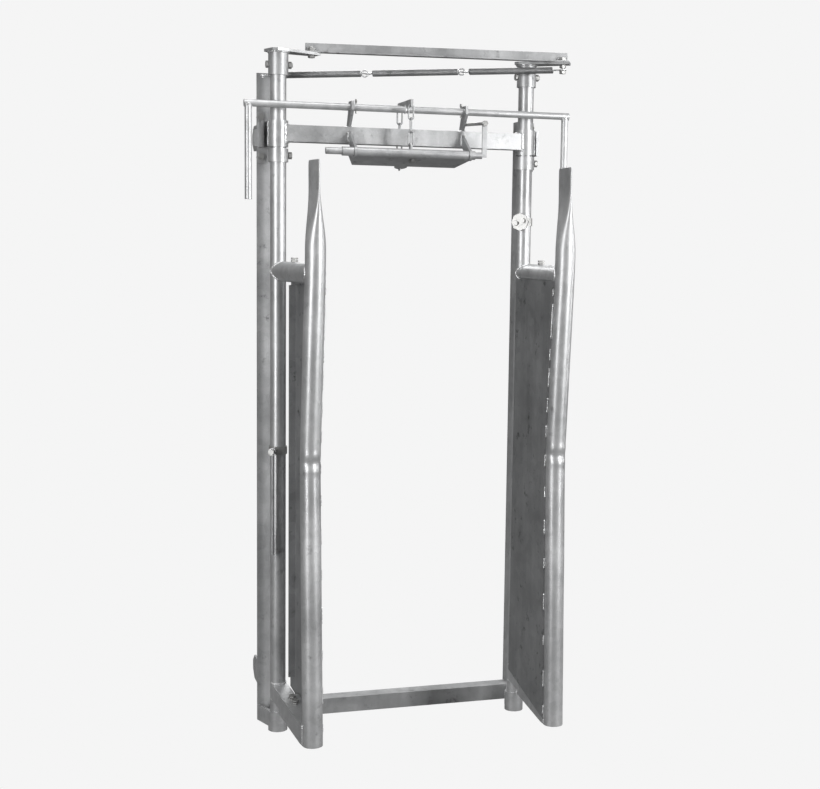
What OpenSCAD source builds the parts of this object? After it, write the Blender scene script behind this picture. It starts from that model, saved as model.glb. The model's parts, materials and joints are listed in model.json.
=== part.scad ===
// Walk-through head gate for cattle: a galvanised frame with two hinged leaves that
// close on the neck, a top link that couples them, closing springs and a roof latch.
// Millimetres. X runs across the gate, -Y is the side the leaves open to, Z is up.
// The origin is on the floor, midway between the two pivot pipes.

/* [Gate] */
// Distance between the axes of the two pivot pipes
gate_w = 790; // [740:5:900]
// Height of the top face of the cap plates
cap_top = 2106; // [2096:1:2180]
// Height of the middle of the top rail
rail_z = 1858; // [1800:2:1870]
// Top of the left upright
left_upright_top = 2042; // [2036:1:2060]
// Top of the right upright
right_upright_top = 1929; // [1915:1:1990]
// Depth from the pivot axes to the front face of the uprights
upright_y = 75; // [70:1:95]

/* [Sections] */
// Outside diameter of the pivot pipes
pivot_od = 48.3; // [42:0.1:50]
// Outside diameter of the bushes, collars, sleeves and neck pipes
bush_od = 60.3; // [58:0.1:64]
// Wall of every pipe
pipe_wall = 3.2; // [2.6:0.1:4]
// Width and height of the top rail and the sill
rail_size = 50; // [40:1:55]
// Leg of the angle uprights
angle_leg = 50; // [44:1:60]
// Thickness of the angle uprights
angle_t = 6; // [4:0.5:8]
// Distance from the pivot axes to the front face of the sill
sill_y = 62; // [60:1:66]
// Thickness of brackets and welded plates
plate_t = 8; // [6:0.5:10]
// Gap between a turning shaft and its bore
run_gap = 0.4; // [0.35:0.05:0.8]
// Gap between an arm and the sleeve that slides on it
fit_gap = 0.6; // [0.5:0.05:0.8]

/* [Leaves] */
// Distance from the pivot axis to the bottom of the neck pipe
neck_reach = 333; // [320:1:345]
// Distance from the pivot axis to the neck pipe at its bend
bend_reach = 302; // [285:1:315]
// Distance from the pivot axis to the neck pipe at the upper arm
shoulder_reach = 342; // [330:1:348]
// Height of the bend in the neck pipe
bend_z = 900; // [800:10:1000]
// Bottom of the neck pipe
neck_bottom = 60; // [56:1:80]
// Top of the flattened end of the neck pipe
neck_top = 1764; // [1700:2:1766]
// Height of the upper arm
upper_arm_z = 1444; // [1350:2:1500]
// Height of the lower arm at the pivot
lower_arm_z = 130; // [125:1:160]
// Fall of the lower arm towards the neck pipe, in degrees
lower_fall = 7.5; // [4:0.5:8]
// Thickness of the sheet on each leaf
sheet_t = 3; // [2:0.5:4]
// Angle of the open left leaf, turned in from straight ahead
left_open = 8; // [0:1:12]
// Angle of the open right leaf, turned out from straight ahead
right_open = 2; // [0:1:4]

/* [Link and springs] */
// Length of the link arm on each cap, axis to bolt
link_arm = 115; // [105:1:125]
// Angle of the left link arm, back from the line of the pivots
left_arm_angle = 20; // [15:1:25]
// Angle of the right link arm, forward from the line of the pivots
right_arm_angle = 30; // [28:1:34]
// Leg of the link bar
link_leg = 30; // [25:1:35]
// Outside diameter of the springs
spring_od = 20; // [16:1:21]
// Length of the coiled body of each spring
spring_len = 266; // [240:2:270]

/* [Latch] */
// Diameter of the operating shaft and its handles
shaft_d = 21.3; // [18:0.1:24]
// Distance of the shaft axis in front of the pivots
shaft_y = 45; // [42:1:48]
// Height of the shaft axis
shaft_z = 1940; // [1930:1:1945]
// Length of each handle below the shaft axis
handle_len = 282; // [200:2:320]
// Distance of each shaft bracket from the middle
bracket_x = 180; // [172:1:184]
// Diameter of the latch hinge rod
rod_d = 20; // [18:0.5:22]
// Height of the latch hinge rod
rod_z = 1805; // [1804:1:1810]
// Distance of the latch hinge rod in front of the pivots
rod_y = 100; // [97:1:104]
// Slope of the latch flap below level
flap_slope = 15; // [14:0.5:15.5]

/* [Hidden] */
$fn = 48;

half_w = gate_w / 2;
pivot_r = pivot_od / 2;
bush_r = bush_od / 2;
bore_d = pivot_od + 2 * run_gap;
sleeve_bore = pivot_od + 2 * fit_gap;
weld_gap = 0.05;
cap_bore = pivot_od + 2 * weld_gap;

// Heights of the parts that turn on the pivots
cap_z = cap_top - plate_t;
cap_sleeve_h = 69;
cross_bolt_z = cap_z - 38;
bush_h = 78;
bush_z = rail_z - bush_h / 2 - 2;
collar_h = 40;
collar_z = bush_z - 5 - collar_h;
socket_h = 62;
socket_floor = 6;
pivot_bottom = socket_floor + run_gap;

// Uprights
upright_x = half_w + 3;
upright_bottom = 10;
sill_z = 15;
rail_wall = 3;
spring_hole_x = upright_x + 32;
spring_hole_z = left_upright_top - 8;
bracket_bolt_d = 12;
bolt_gap = 0.3;
bracket_bolt_x = upright_x + 39;
bracket_bolts_z = [rail_z - 68, rail_z + 52];
lug_t = 6;
lug_l = 84;
lug_h = 76;
lug_hole_d = 14;
lug_hole_y = 64;
lug_zs = [168, rail_z - 10];

// Leaf
sheet_y = bush_od / 2 + 0.35;
sheet_top = upper_arm_z - 16;
sheet_rear = 32;
sleeve_start = 60;
arm_end = 250;
upper_bolt_u = 157;
lower_box = 60;
lower_wall = 3;
lower_inner = 48;
box_wall = 4;
lower_start = 110;
lower_end = 245;
lower_bolts_u = [140, 170];
leaf_bolt_d = 12;
set_bolt_d = 12;
flat_t = 8;
flat_w = 92;
flat_h = 62;
flat_blend = 180;
flat_reach = shoulder_reach - 14;
blend_z = neck_top - flat_h - flat_blend;
blend_reach = shoulder_reach + 3;

// Link
link_z = cap_top + run_gap;
link_t = 4;
link_end = 18;
link_bolt_d = 12;
left_bolt = [-half_w + link_arm * cos(left_arm_angle), link_arm * sin(left_arm_angle)];
right_bolt = [half_w + link_arm * cos(right_arm_angle), -link_arm * sin(right_arm_angle)];
link_vec = right_bolt - left_bolt;
link_len = norm(link_vec);
link_dir = atan2(link_vec[1], link_vec[0]);

// Springs run from a hole in the left upright to the right link bolt
hook_z = cap_z - 16;
spring_from = [-spring_hole_x, upright_y - 7, spring_hole_z];
spring_to = [right_bolt[0], right_bolt[1], hook_z];
spring_vec = spring_to - spring_from;
spring_run = norm(spring_vec);
spring_yaw = atan2(spring_vec[1], spring_vec[0]);
spring_pitch = asin(spring_vec[2] / spring_run);
hook_gap = 36;
spring_pitch_len = spring_len + hook_gap;
spring_start = (spring_run - 3 * spring_len - 2 * hook_gap) / 2;
hook_d = 5;
hook_ring_id = link_bolt_d + 3;
// The bolt's head stays below the last hook, which slopes down from the ring
hook_room = hook_d / 2 + 0.36 + (hook_ring_id / 2 + hook_d) * tan(spring_pitch);

// Latch
shaft_bore = shaft_d + 2 * run_gap;
shaft_left = -half_w - 110;
shaft_right = half_w + 128;
handle_inset = 2;
latch_tube_od = 26.9;
latch_tube_left = -220;
latch_tube_right = 196;
rod_left = -270;
keeper_x = 218;
keeper_w = 15;
keeper_t = 6;
keeper_z = rail_z + 45;
keeper_bolt_d = 10;
flap_t = 8;
flap_front = 205;
flap_rear = 165;
flap_depth = 116;
lobe_r = 20;
rim = 2.7;
shackle_h = 22;
shackle_t = 6;
lever_x = -8;
lever_front = [-rod_y, shaft_z + 10];
lever_rear = [36, shaft_z + 12];
rim_reach = (rod_y + lever_rear[0]) / cos(flap_slope);
chain_wire = 5;
chain_inner_w = 10;
chain_play = 0.4;
chain_hole = 10;

// Hanging rod
clamp_z = 894;
clamp_angle = -120;
clamp_h = 24;
rod_eye_r = 48;
hang_len = 321;
hang_d = 11;
right_clamp_z = 1607;
right_clamp_angle = -130;

module galvanised() color([0.78, 0.79, 0.80]) children();
module dull_zinc() color([0.62, 0.63, 0.65]) children();
module spring_steel() color([0.30, 0.31, 0.33]) children();
module fastener() color([0.70, 0.70, 0.68]) children();

module at_left() translate([-half_w, 0, 0]) children();
module at_right() translate([half_w, 0, 0]) children();

// A leaf is drawn with its reach along +X and the cattle side at +Y
module left_leaf_frame() at_left() rotate(left_open - 90) children();
module right_leaf_frame() at_right() rotate(right_open - 90) mirror([0, 1, 0]) children();

module bar_x(d, x0, x1) translate([x0, 0, 0]) rotate([0, 90, 0]) cylinder(d = d, h = x1 - x0);

module tube(od, id, h) {
    difference() {
        cylinder(d = od, h = h);
        translate([0, 0, -1]) cylinder(d = id, h = h + 2);
    }
}

// Bolt along +Z: head below z = 0, nut above z = grip
module bolt(d, grip) {
    head_w = 1.8 * d;
    translate([0, 0, -0.65 * d]) cylinder(d = head_w, h = 0.65 * d, $fn = 6);
    translate([0, 0, -0.1]) cylinder(d = d, h = grip + 1.1 * d);
    translate([0, 0, grip]) cylinder(d = head_w, h = 0.8 * d, $fn = 6);
}

module angle_section(leg, t) polygon([[0, 0], [leg, 0], [leg, t], [t, t], [t, leg], [0, leg]]);

// ---- frame ----
module upright(top) {
    difference() {
        translate([0, upright_y, upright_bottom])
            linear_extrude(top - upright_bottom) angle_section(angle_leg, angle_t);
        for (z = bracket_bolts_z)
            translate([bracket_bolt_x - upright_x, upright_y - 1, z]) rotate([-90, 0, 0])
                cylinder(d = bracket_bolt_d + 2 * bolt_gap, h = angle_t + 2);
    }
}

module left_upright() {
    galvanised() difference() {
        translate([-upright_x, 0, 0]) mirror([1, 0, 0]) upright(left_upright_top);
        translate([-spring_hole_x, upright_y - 1, spring_hole_z]) rotate([-90, 0, 0])
            cylinder(d = 11, h = angle_t + 2);
    }
}

module right_upright() {
    galvanised() difference() {
        translate([upright_x, 0, 0]) upright(right_upright_top);
        translate([upright_x + angle_leg, upright_y - 1, right_upright_top]) rotate([0, 45, 0])
            translate([-12, 0, -12]) cube([24, angle_t + 2, 24]);
    }
}

module sill() {
    galvanised() difference() {
        translate([-upright_x, sill_y, sill_z]) cube([2 * upright_x, rail_size, rail_size]);
        translate([-upright_x - 1, sill_y + rail_wall, sill_z + rail_wall])
            cube([2 * upright_x + 2, rail_size - 2 * rail_wall, rail_size - 2 * rail_wall]);
    }
}

module top_rail() {
    inner = rail_size - 2 * rail_wall;
    galvanised() difference() {
        translate([-half_w, -rail_size / 2, rail_z - rail_size / 2])
            cube([gate_w, rail_size, rail_size]);
        translate([-half_w - 1, -inner / 2, rail_z - inner / 2]) cube([gate_w + 2, inner, inner]);
        for (side = [-1, 1])
            translate([side * half_w, 0, rail_z - rail_size])
                cylinder(r = bush_r + weld_gap, h = 2 * rail_size);
    }
}

module bush() galvanised() translate([0, 0, bush_z]) tube(bush_od, bore_d, bush_h);
module left_bush() at_left() bush();
module right_bush() at_right() bush();

// Channel that joins a bush to its upright, drawn for the right-hand side
module post_bracket() {
    outer_x = half_w + 42;
    inner_x = half_w + 24;
    back_z = bracket_bolts_z[0] - 20;
    galvanised() difference() {
        union() {
            translate([upright_x + 17, upright_y - plate_t, back_z])
                cube([angle_leg - 17, plate_t, bracket_bolts_z[1] + 15 - back_z]);
            translate([upright_x + angle_leg - 1, upright_y - plate_t, rail_z - 36])
                cube([13, plate_t, 51]);
            translate([outer_x, 12, bush_z]) cube([7, upright_y - 12 - plate_t + 1, bush_h]);
            translate([inner_x, 0, bush_z]) cube([7, upright_y - plate_t + 1, bush_h]);
        }
        translate([half_w, 0, bush_z - 1]) cylinder(r = bush_r + weld_gap, h = bush_h + 2);
        for (z = bracket_bolts_z)
            translate([bracket_bolt_x, upright_y - plate_t - 1, z]) rotate([-90, 0, 0])
                cylinder(d = bracket_bolt_d + 2 * bolt_gap, h = plate_t + 2);
    }
}

module right_post_bracket() post_bracket();
module left_post_bracket() mirror([1, 0, 0]) post_bracket();

module post_bracket_bolts() {
    fastener() for (side = [-1, 1]) for (z = bracket_bolts_z)
        translate([side * bracket_bolt_x, upright_y - plate_t, z]) rotate([-90, 0, 0])
            bolt(bracket_bolt_d, plate_t + angle_t);
}

module foot_socket() {
    galvanised() difference() {
        cylinder(d = bush_od, h = socket_h);
        translate([0, 0, socket_floor]) cylinder(d = bore_d, h = socket_h);
    }
}

module left_foot_socket() at_left() foot_socket();
module right_foot_socket() at_right() foot_socket();

// Folded foot that ties a socket to its upright, drawn for the right-hand side
module foot_bracket() {
    outer_x = upright_x + angle_leg;
    wall = 7;
    base_z = 10;
    galvanised() difference() {
        union() {
            translate([0, 0, base_z]) linear_extrude(50)
                polygon([[outer_x, upright_y], [outer_x - wall, upright_y],
                         [half_w + 18, 12], [half_w + 26, 2]]);
            translate([0, 0, base_z]) linear_extrude(50)
                polygon([[upright_x - wall, sill_y], [upright_x, sill_y],
                         [half_w - 18, 6], [half_w - 25, 12]]);
            translate([0, 0, base_z]) linear_extrude(wall)
                polygon([[outer_x, upright_y], [upright_x, upright_y], [upright_x, sill_y],
                         [upright_x - wall, sill_y], [half_w - 25, 12], [half_w, 20],
                         [half_w + 26, 2]]);
        }
        translate([half_w, 0, 0]) cylinder(r = bush_r + weld_gap, h = 2 * socket_h);
    }
}

module right_foot_bracket() foot_bracket();
module left_foot_bracket() mirror([1, 0, 0]) foot_bracket();

module mount_lugs() {
    outer_x = upright_x + angle_leg;
    back_y = upright_y + angle_t;
    galvanised() for (side = [-1, 1]) for (z = lug_zs)
        difference() {
            yz_plate(side * (outer_x - lug_t / 2), lug_t, [
                [back_y, z - lug_h / 2], [back_y + lug_l - 30, z - lug_h / 2],
                [back_y + lug_l, z - 14], [back_y + lug_l, z + 14],
                [back_y + lug_l - 30, z + lug_h / 2], [back_y, z + lug_h / 2]]);
            translate([side * (outer_x - lug_t / 2) - lug_t, back_y + lug_hole_y, z])
                bar_x(lug_hole_d, 0, 2 * lug_t);
        }
}

// A flat plate in the YZ plane, centred on x
module yz_plate(x, t, points)
    translate([x - t / 2, 0, 0]) rotate([90, 0, 90]) linear_extrude(t) polygon(points);

module shaft_brackets() {
    base_z = rail_z + rail_size / 2;
    galvanised() for (side = [-1, 1])
        difference() {
            yz_plate(side * bracket_x, plate_t, [
                [6, base_z], [-rail_size / 2 + 1, base_z],
                [-shaft_y - 22, shaft_z - 8], [-shaft_y - 19, shaft_z + 18],
                [-shaft_y + 22, shaft_z + 18], [-shaft_y + 24, shaft_z + 2]]);
            translate([side * bracket_x - plate_t, -shaft_y, shaft_z])
                bar_x(shaft_bore, 0, 2 * plate_t);
        }
}

module rod_lugs() {
    front = -rail_size / 2;
    base_z = rail_z - rail_size / 2;
    end_r = 17;
    galvanised() for (side = [-1, 1])
        difference() {
            union() {
                yz_plate(side * bracket_x, plate_t, [
                    [front, base_z + 38], [front, base_z + 2], [-rod_y + 13, rod_z - 8],
                    [-rod_y - 8, rod_z], [-rod_y - 6, rod_z + 15]]);
                translate([side * bracket_x - plate_t / 2, -rod_y, rod_z])
                    bar_x(2 * end_r, 0, plate_t);
            }
            translate([side * bracket_x - plate_t, -rod_y, rod_z])
                bar_x(rod_d + 2 * weld_gap, 0, 2 * plate_t);
        }
}

module hinge_rod() {
    galvanised() translate([0, -rod_y, rod_z]) bar_x(rod_d, rod_left, keeper_x - weld_gap);
}

// Strap on the end of the hinge rod and the bar that braces it to the shaft bracket
module rod_keeper() {
    galvanised() translate([keeper_x, -rod_y - keeper_t, rod_z - 5])
        cube([keeper_w, keeper_t, keeper_z + 5 - rod_z + 5]);
}

module keeper_bolt() {
    from = [keeper_x + keeper_w / 2, -rod_y];
    to = [bracket_x + plate_t / 2, -24];
    run = to - from;
    fastener() {
        intersection() {
            translate([from[0], from[1], keeper_z]) rotate(atan2(run[1], run[0]))
                bar_x(keeper_bolt_d, -10, norm(run) + 10);
            translate([to[0] + weld_gap, from[1] + weld_gap, keeper_z - 20])
                cube([80, 200, 40]);
        }
        translate([from[0], -rod_y - keeper_t - weld_gap, keeper_z]) rotate([90, 0, 0])
            cylinder(d = 1.8 * keeper_bolt_d, h = 7, $fn = 6);
    }
}

// ---- leaves ----
module pivot_pipe() {
    galvanised() difference() {
        translate([0, 0, pivot_bottom])
            tube(pivot_od, pivot_od - 2 * pipe_wall, cap_z - pivot_bottom);
        translate([0, 0, cross_bolt_z]) bar_x(leaf_bolt_d + 2 * bolt_gap, -pivot_od, pivot_od);
    }
}

module left_pivot_pipe() at_left() pivot_pipe();
module right_pivot_pipe() at_right() pivot_pipe();

// Sleeve and arm plate on top of a pivot pipe, the arm along +X turned by the angle
module cap(angle) {
    galvanised() difference() {
        union() {
            translate([0, 0, cap_z - cap_sleeve_h]) tube(bush_od, cap_bore, cap_sleeve_h + 0.5);
            rotate(angle) translate([0, 0, cap_z]) linear_extrude(plate_t)
                polygon([[-34, -26], [-34, 26], [-20, 34], [16, 34], [link_arm + 22, 19],
                         [link_arm + 22, -19], [16, -34], [-20, -34]]);
        }
        translate([0, 0, cross_bolt_z]) bar_x(leaf_bolt_d + 2 * bolt_gap, -bush_od, bush_od);
        rotate(angle) translate([link_arm, 0, cap_z - 1])
            cylinder(d = link_bolt_d + 2 * bolt_gap, h = plate_t + 2);
    }
}

module left_cap() at_left() cap(left_arm_angle);
module right_cap() at_right() cap(-right_arm_angle);

module collar() {
    galvanised() difference() {
        translate([0, 0, collar_z]) tube(bush_od, cap_bore, collar_h);
        translate([0, 0, collar_z + collar_h / 2]) bar_x(leaf_bolt_d + 2 * bolt_gap, 0, bush_od);
    }
}

module left_collar() at_left() collar();
module right_collar() at_right() collar();

module upper_arm() {
    galvanised() difference() {
        translate([0, 0, upper_arm_z]) difference() {
            bar_x(pivot_od, 0, arm_end);
            bar_x(pivot_od - 2 * pipe_wall, -1, arm_end + 1);
        }
        translate([0, 0, upper_arm_z - bush_od])
            cylinder(r = pivot_r + weld_gap, h = 2 * bush_od);
    }
}

module left_upper_arm() left_leaf_frame() upper_arm();
module right_upper_arm() right_leaf_frame() upper_arm();

// Straight run of neck pipe between two [reach, height] points, cut level a little past both
module neck_run(from, to, d, past = 0) {
    lean = atan2(to[0] - from[0], to[1] - from[1]);
    span = norm(to - from);
    intersection() {
        translate([from[0], 0, from[1]]) rotate([0, lean, 0]) translate([0, 0, -d])
            cylinder(d = d, h = span + 2 * d);
        translate([0, -bush_od, from[1] - past])
            cube([2 * neck_reach, 2 * bush_od, to[1] - from[1] + 2 * past]);
    }
}

bend = [bend_reach, bend_z];
foot = [neck_reach, neck_bottom];
shoulder = [shoulder_reach, upper_arm_z + 6];
blend_at = [blend_reach, blend_z];

// A run of neck pipe with its two ends open, or closed by an end plate of the given thickness
module neck_tube(from, to, end_plate = 0) {
    difference() {
        neck_run(from, to - [0, weld_gap], bush_od);
        neck_run(from + [0, end_plate], to, bush_od - 2 * pipe_wall, end_plate > 0 ? 0 : 1);
    }
}

// Three straight runs, then the end pressed flat
module neck_pipe() {
    galvanised() {
        neck_tube(foot, bend, pipe_wall);
        neck_tube(bend, shoulder);
        neck_tube(shoulder, blend_at);
        hull() {
            translate([blend_reach, 0, blend_z]) cylinder(d = bush_od, h = 2, $fn = 32);
            translate([flat_reach - flat_w / 2, -flat_t / 2, neck_top - flat_h - 1])
                cube([flat_w, flat_t, 1 - weld_gap]);
        }
        translate([flat_reach - flat_w / 2, -flat_t / 2, neck_top - flat_h])
            cube([flat_w, flat_t, flat_h]);
    }
}

module left_neck_pipe() left_leaf_frame() neck_pipe();
module right_neck_pipe() right_leaf_frame() neck_pipe();

// Everything an arm must clear where it meets the neck pipe
module neck_clearance() {
    neck_run([foot[0], foot[1] - 1], bend, bush_od + 2 * weld_gap);
    neck_run(bend, shoulder, bush_od + 2 * weld_gap);
    neck_run(shoulder, blend_at, bush_od + 2 * weld_gap);
}

module upper_sleeve() {
    galvanised() difference() {
        translate([0, 0, upper_arm_z]) difference() {
            bar_x(bush_od, sleeve_start, shoulder_reach);
            bar_x(sleeve_bore, sleeve_start - 1, shoulder_reach + 1);
        }
        neck_clearance();
        translate([upper_bolt_u, 0, upper_arm_z])
            cylinder(d = set_bolt_d + 2 * bolt_gap, h = bush_od);
    }
}

module left_upper_sleeve() left_leaf_frame() upper_sleeve();
module right_upper_sleeve() right_leaf_frame() upper_sleeve();

// The lower arm and its sleeve are drawn level, then tipped about the pivot
module lower_frame() translate([0, 0, lower_arm_z]) rotate([0, lower_fall, 0]) children();

module box_x(size, x0, x1)
    translate([x0, -size / 2, -size / 2]) cube([x1 - x0, size, size]);

module lower_arm() {
    galvanised() difference() {
        lower_frame() difference() {
            box_x(lower_inner, 0, lower_end);
            box_x(lower_inner - 2 * box_wall, -1, lower_end + 1);
        }
        translate([0, 0, lower_arm_z - lower_box])
            cylinder(r = pivot_r + weld_gap, h = 2 * lower_box);
        translate([-lower_box, -lower_box, 0]) cube([lower_box, 2 * lower_box, 4 * lower_box]);
    }
}

module left_lower_arm() left_leaf_frame() lower_arm();
module right_lower_arm() right_leaf_frame() lower_arm();

module lower_sleeve() {
    galvanised() difference() {
        lower_frame() difference() {
            box_x(lower_box, lower_start, neck_reach + 2);
            box_x(lower_box - 2 * lower_wall, lower_start - 1, neck_reach + 3);
            for (u = lower_bolts_u)
                translate([u, 0, 0]) cylinder(d = set_bolt_d + 2 * bolt_gap, h = lower_box);
        }
        neck_clearance();
        translate([0, -lower_box, 0]) cube([2 * neck_reach, 2 * lower_box, neck_bottom]);
        translate([neck_reach - 3, -lower_box, 0]) cube([100, 2 * lower_box, 4 * lower_box]);
    }
}

module left_lower_sleeve() left_leaf_frame() lower_sleeve();
module right_lower_sleeve() right_leaf_frame() lower_sleeve();

// Sheet on the cattle side of a leaf, following the bend of the neck pipe, and its rib
module sheet() {
    edge = 4;
    rib_u = 72;
    rib_w = 20;
    lean = (shoulder[0] - bend[0]) / (shoulder[1] - bend[1]);
    top_reach = bend_reach + lean * (sheet_top - bend_z);
    foot_z = neck_bottom + 17;
    galvanised() {
        translate([0, sheet_y + sheet_t, 0]) rotate([90, 0, 0]) linear_extrude(sheet_t)
            polygon([[sheet_rear, foot_z + 70], [neck_reach - edge, foot_z],
                     [bend_reach - edge, bend_z], [top_reach - edge, sheet_top],
                     [sheet_rear, sheet_top]]);
        translate([rib_u, sheet_y - rib_w, lower_arm_z + lower_box])
            cube([5, rib_w + 0.5, sheet_top - lower_arm_z - lower_box - 24]);
    }
}

module left_sheet() left_leaf_frame() sheet();
module right_sheet() right_leaf_frame() sheet();

// Bolt that locks a sleeve on its arm, with the nut welded on the sleeve's face at z = 0
module set_bolt(wall) {
    nut_h = 6;
    head_h = 5;
    stem = 8;
    cylinder(d = 1.8 * set_bolt_d, h = nut_h, $fn = 6);
    translate([0, 0, -wall + weld_gap]) cylinder(d = set_bolt_d, h = wall + stem);
    translate([0, 0, stem]) cylinder(d = 1.8 * set_bolt_d, h = head_h, $fn = 6);
}

module set_bolts() {
    translate([upper_bolt_u, 0, upper_arm_z + bush_r])
        set_bolt((bush_od - pivot_od) / 2 - fit_gap);
    lower_frame() for (u = lower_bolts_u)
        translate([u, 0, lower_box / 2 + weld_gap]) set_bolt(lower_wall);
}

module left_set_bolts() fastener() left_leaf_frame() set_bolts();
module right_set_bolts() fastener() right_leaf_frame() set_bolts();

// Cross bolt of the cap and set bolt of the collar
module pivot_bolts() {
    translate([-bush_r, 0, cross_bolt_z]) rotate([0, 90, 0]) bolt(leaf_bolt_d, bush_od);
    translate([0, 0, collar_z + collar_h / 2]) {
        bar_x(leaf_bolt_d, pivot_r + weld_gap, bush_r + 2);
        translate([bush_r + 1, 0, 0]) rotate([0, 90, 0])
            cylinder(d = 1.8 * leaf_bolt_d, h = 10, $fn = 6);
    }
}

module left_pivot_bolts() fastener() at_left() pivot_bolts();
module right_pivot_bolts() fastener() at_right() pivot_bolts();

// ---- link ----
module left_link_bolt() {
    fastener() translate([left_bolt[0], left_bolt[1], cap_z])
        bolt(link_bolt_d, plate_t + run_gap + link_t + run_gap);
}

// The bolt stops level with the cap plate, where the linkage is opened
module right_link_bolt() {
    head = 8;
    fastener() translate([right_bolt[0], right_bolt[1], hook_z - hook_room - head]) {
        cylinder(d = link_bolt_d, h = cap_top - hook_z + hook_room + head);
        cylinder(d = 1.8 * link_bolt_d, h = head, $fn = 6);
        translate([0, 0, cap_z - hook_z + hook_room + head - 9])
            cylinder(d = 1.8 * link_bolt_d, h = 9, $fn = 6);
    }
}

module link_bar() {
    galvanised() translate([left_bolt[0], left_bolt[1], link_z]) rotate(link_dir)
        difference() {
            translate([-link_end, link_leg / 2, 0]) rotate([90, 0, 90])
                linear_extrude(link_len + 2 * link_end)
                    mirror([1, 0]) angle_section(link_leg, link_t);
            translate([0, 0, -1]) cylinder(d = link_bolt_d + 2 * run_gap, h = link_t + 2);
        }
}

module link_nut() {
    fastener() translate([right_bolt[0], right_bolt[1], link_z + link_t])
        cylinder(d = 1.8 * link_bolt_d, h = 10, $fn = 6);
}

// ---- springs ----
module along_spring() {
    translate(spring_from) rotate([0, -spring_pitch, spring_yaw]) children();
}

module springs() {
    spring_steel() along_spring() for (i = [0 : 2])
        translate([spring_start + i * spring_pitch_len, 0, 0])
            difference() {
                bar_x(spring_od, 0, spring_len);
                bar_x(spring_od - 8, -1, spring_len + 1);
            }
}

module spring_hooks() {
    reach = 10;
    spring_steel() {
        along_spring() {
            bar_x(hook_d, 0, spring_start + reach);
            for (i = [0, 1])
                bar_x(hook_d, spring_start + spring_len + i * spring_pitch_len - reach,
                    spring_start + (i + 1) * spring_pitch_len + reach);
            bar_x(hook_d, spring_run - spring_start - reach, spring_run - hook_ring_id / 2 - 1);
        }
        translate([spring_from[0], spring_from[1] - 2, spring_from[2]]) rotate([-90, 0, 0])
            cylinder(d = hook_d + 0.6, h = upright_y + angle_t + 6 - spring_from[1]);
        translate([right_bolt[0], right_bolt[1], hook_z - hook_d / 2])
            tube(hook_ring_id + 2 * hook_d, hook_ring_id, hook_d);
    }
}

// ---- operating shaft ----
module operating_shaft() {
    galvanised() translate([0, -shaft_y, shaft_z]) difference() {
        bar_x(shaft_d, shaft_left, shaft_right);
        bar_x(shaft_d - 5.2, shaft_left - 1, shaft_right + 1);
        for (side = [-1, 1])
            translate([side * (bracket_x - 14), 0, -shaft_d]) cylinder(d = 5.4, h = 2 * shaft_d);
    }
}

module handle(x) {
    galvanised() translate([x, -shaft_y, shaft_z - handle_len]) difference() {
        tube(shaft_d, shaft_d - 5.2, handle_len);
        translate([0, 0, handle_len]) bar_x(shaft_d + 2 * weld_gap, -shaft_d, shaft_d);
    }
}

module left_handle() handle(shaft_left + handle_inset + shaft_d / 2);
module right_handle() handle(shaft_right - handle_inset - shaft_d / 2);

module shaft_lever() {
    low = shaft_z + 3;
    high = shaft_z + 26;
    galvanised() difference() {
        yz_plate(lever_x, plate_t, [[lever_front[0] - 11, low], [lever_front[0] - 11, high],
                                    [lever_rear[0] + 11, high], [lever_rear[0] + 11, low]]);
        translate([lever_x - plate_t, -shaft_y, shaft_z])
            bar_x(shaft_d + 2 * weld_gap, 0, 2 * plate_t);
        for (hole = [lever_front, lever_rear])
            translate([lever_x - plate_t, hole[0], hole[1]]) bar_x(chain_hole, 0, 2 * plate_t);
    }
}

module shaft_cotters() {
    fastener() for (side = [-1, 1])
        translate([side * (bracket_x - 14), -shaft_y, shaft_z]) {
            translate([0, 0, -18]) cylinder(d = 5, h = 34);
            translate([0, 0, 19]) rotate([0, 90, 0])
                difference() {
                    cylinder(d = 12, h = 4, center = true);
                    cylinder(d = 5, h = 6, center = true);
                }
        }
}

// ---- latch flap: drawn about its hinge, +Y towards the back of the gate ----
module latch_frame() translate([0, -rod_y, rod_z]) rotate([-flap_slope, 0, 0]) children();

module latch_tube() {
    gap = plate_t / 2 + 0.5;
    galvanised() latch_frame() difference() {
        union() {
            bar_x(latch_tube_od, -bracket_x + gap, bracket_x - gap);
            bar_x(latch_tube_od, latch_tube_left, -bracket_x - gap);
            bar_x(latch_tube_od, bracket_x + gap, latch_tube_right);
        }
        bar_x(rod_d + 2 * run_gap, -gate_w, gate_w);
    }
}

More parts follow.
